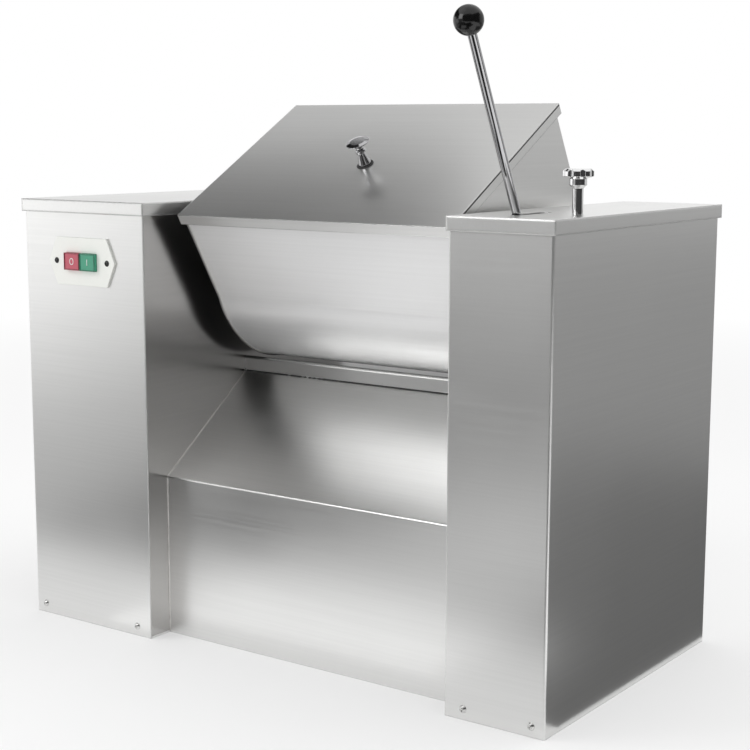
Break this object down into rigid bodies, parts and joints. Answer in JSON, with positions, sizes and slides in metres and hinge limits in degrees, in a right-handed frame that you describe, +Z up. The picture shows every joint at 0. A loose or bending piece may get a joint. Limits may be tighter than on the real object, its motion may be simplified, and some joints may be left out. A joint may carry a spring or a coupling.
{
  "type": "trough powder mixer",
  "caption": "Bench trough mixer: a tilting lidded trough with a ribbon paddle between two steel cabinets that hold its geared drive and its tilt lever.",
  "frame": {"origin": "middle of the flat underside of the base tray, half way between the cabinets' outer sides and half way between their fronts and backs", "axes": "+X along the mixing shaft towards the lever's side, +Y to the back, +Z up; the front faces -Y"},
  "size_m": [0.7052, 0.44, 0.6857],
  "materials": {
    "brushed_stainless": "brushed sheet",
    "turned_steel": "turned",
    "polished_steel": "polished",
    "machined_steel": "machined",
    "cast_housing": "painted casting",
    "bronze": "machined bronze",
    "black_plastic": "gloss",
    "white_plastic": "satin",
    "red_plastic": "satin",
    "green_plastic": "satin",
    "seal_rubber": "matt"
  },
  "bodies": {
    "root": {"base_tray": "brushed_stainless", "left_casing": "brushed_stainless", "left_inner_wall": "brushed_stainless", "left_cover": "brushed_stainless", "right_casing": "brushed_stainless", "right_inner_wall": "brushed_stainless", "right_cover": "brushed_stainless", "front_apron": "brushed_stainless", "deck_panel": "brushed_stainless", "rear_panel": "brushed_stainless", "casing_screws": "turned_steel", "left_bearing_housing": "cast_housing", "right_bearing_housing": "cast_housing", "bearing_bolts": "turned_steel", "gearbox_plate": "machined_steel", "plate_spacers": "turned_steel", "gearbox": "cast_housing", "gearbox_bolts": "turned_steel", "motor": "cast_housing", "motor_fan_cover": "black_plastic", "motor_terminal_box": "cast_housing", "cable_gland": "black_plastic", "gland_nut": "black_plastic", "switch_plate": "white_plastic", "switch_body": "black_plastic", "switch_screws": "turned_steel", "latch_bush": "bronze"},
    "trough": {"trough_shell": "brushed_stainless", "trough_left_end": "brushed_stainless", "trough_right_end": "brushed_stainless", "trough_rim": "brushed_stainless", "left_trunnion": "turned_steel", "right_trunnion": "turned_steel", "shaft_bushes": "bronze", "shaft_seals": "seal_rubber", "tilt_arm": "machined_steel", "trunnion_key": "machined_steel", "trunnion_collar": "turned_steel", "lever_nut": "turned_steel", "lever_rod": "polished_steel", "lever_ball": "black_plastic"},
    "lid": {"lid_panel": "brushed_stainless", "lid_knob": "polished_steel", "lid_knob_nut": "turned_steel"},
    "mixer": {"mixer_shaft": "turned_steel", "paddle_arms": "brushed_stainless", "paddle_ribbons": "brushed_stainless", "drive_gear": "machined_steel", "gear_key": "machined_steel", "gear_retainer": "turned_steel"},
    "pinion_shaft": {"output_shaft": "turned_steel", "pinion": "machined_steel"},
    "stop_button": {"stop_button": "red_plastic"},
    "start_button": {"start_button": "green_plastic"},
    "latch": {"latch_spindle": "turned_steel", "latch_knob": "polished_steel", "latch_plate": "machined_steel", "latch_nut": "turned_steel"}
  },
  "joints": [
    {"name": "trough_tilt", "type": "hinge", "parent": "root", "child": "trough", "pos_m": [0.037, 0.0245, 0.4245], "axis": [1, 0, 0], "range_deg": [-30, 0]},
    {"name": "lid_lift", "type": "slide", "parent": "trough", "child": "lid", "axis": [0, -0.5, 0.866], "range_m": [0, 0.15]},
    {"name": "paddle_spin", "type": "hinge", "parent": "root", "child": "mixer", "pos_m": [0.037, 0.0245, 0.4245], "axis": [1, 0, 0], "continuous": true},
    {"name": "pinion_spin", "type": "hinge", "parent": "root", "child": "pinion_shaft", "pos_m": [-0.216, 0.0245, 0.3445], "axis": [1, 0, 0], "continuous": true},
    {"name": "stop_press", "type": "slide", "parent": "root", "child": "stop_button", "axis": [0, 1, 0], "range_m": [0, 0.003], "stiffness_N_per_m": 400},
    {"name": "start_press", "type": "slide", "parent": "root", "child": "start_button", "axis": [0, 1, 0], "range_m": [0, 0.003], "stiffness_N_per_m": 400},
    {"name": "latch_turn", "type": "hinge", "parent": "root", "child": "latch", "pos_m": [0.33, -0.1025, 0.483], "axis": [0, 0, 1], "range_deg": [0, 90]}
  ],
  "couplings": [
    {"joint": "pinion_spin", "follows": "paddle_spin", "ratio": -2.5556}
  ]
}
